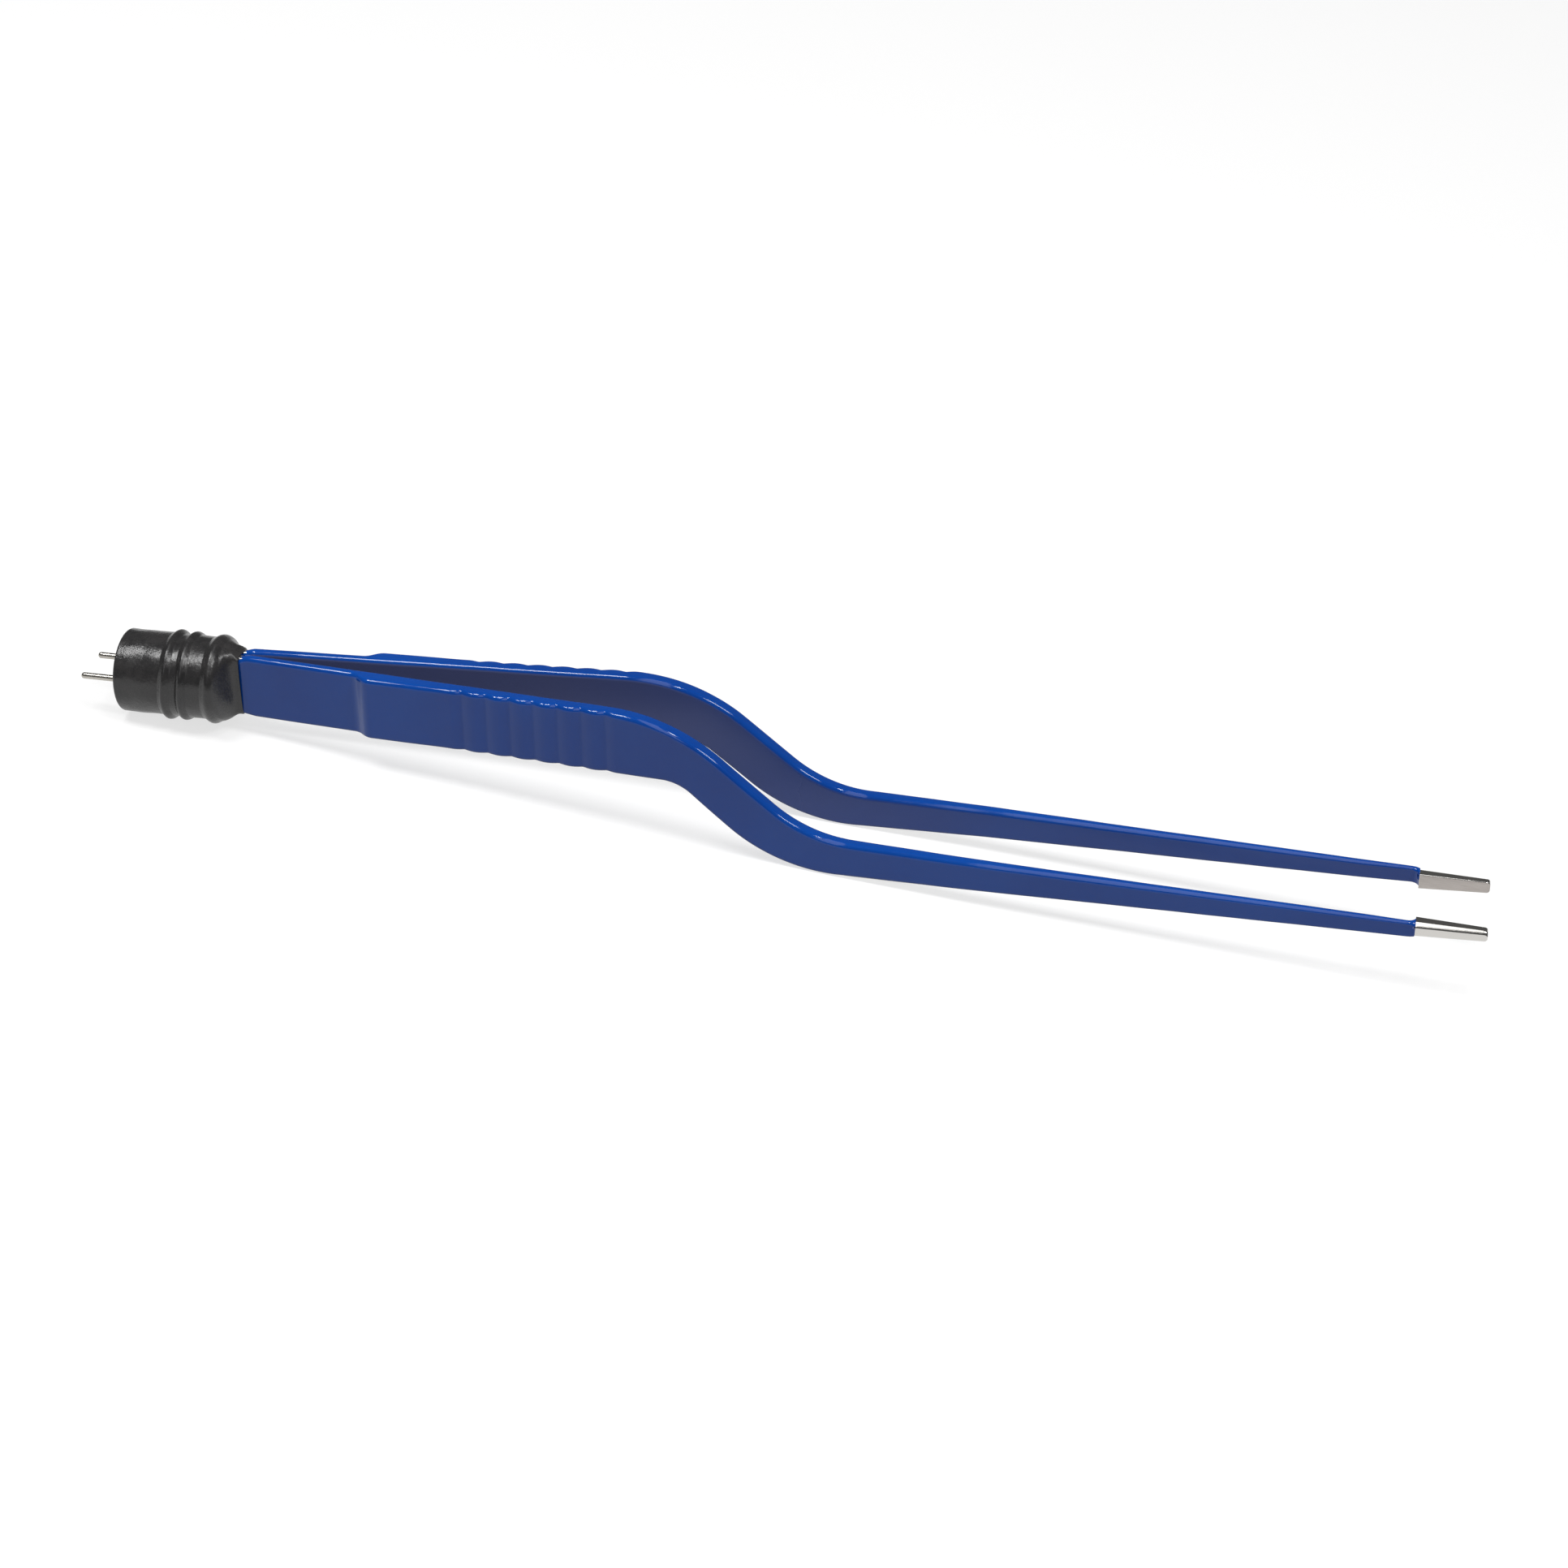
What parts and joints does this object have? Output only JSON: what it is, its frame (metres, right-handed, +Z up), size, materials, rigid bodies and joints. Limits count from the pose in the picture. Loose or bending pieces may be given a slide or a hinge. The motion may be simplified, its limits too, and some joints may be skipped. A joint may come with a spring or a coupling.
{
  "type": "bipolar forceps",
  "caption": "Bayonet bipolar forceps with coated spring arms, fluted grips, bare tips and a ringed sleeve with two contact pins.",
  "frame": {"origin": "middle of the footprint, on the surface the forceps rest on", "axes": "+X towards the tips, +Y towards the left arm, +Z up; the handle is tilted up by 5.82 degrees, as it rests on the sleeve's rear rim and both elbows"},
  "size_m": [0.21, 0.0166, 0.019],
  "materials": {
    "plated_pin": "bright nickel plate",
    "lug_brass": "plain",
    "blade_steel": "satin",
    "blue_coat": "glossy insulating coat",
    "tip_metal": "polished outside, matt inner faces",
    "black_sleeve": "satin",
    "core_resin": "plain",
    "divider_sheet": "plain"
  },
  "bodies": {
    "connector": {"shrink_sleeve": "black_sleeve", "connector_body": "core_resin", "tail_divider": "divider_sheet", "contact_pin_left": "plated_pin", "contact_pin_right": "plated_pin", "lug_left": "lug_brass", "lug_right": "lug_brass"},
    "arm_left": {"blade_left": "blade_steel", "coating_left": "blue_coat", "tip_left": "tip_metal"},
    "arm_right": {"blade_right": "blade_steel", "coating_right": "blue_coat", "tip_right": "tip_metal"}
  },
  "joints": [
    {"name": "arm_left_flex", "type": "hinge", "parent": "connector", "child": "arm_left", "pos_m": [-0.08146, 0.00092, 0.00799], "axis": [0.1013, 0, -0.9949], "range_deg": [0, 1.8], "stiffness_Nm_per_rad": 6},
    {"name": "arm_right_flex", "type": "hinge", "parent": "connector", "child": "arm_right", "pos_m": [-0.08146, -0.00092, 0.00799], "axis": [-0.1013, 0, 0.9949], "range_deg": [0, 1.8], "stiffness_Nm_per_rad": 6}
  ]
}
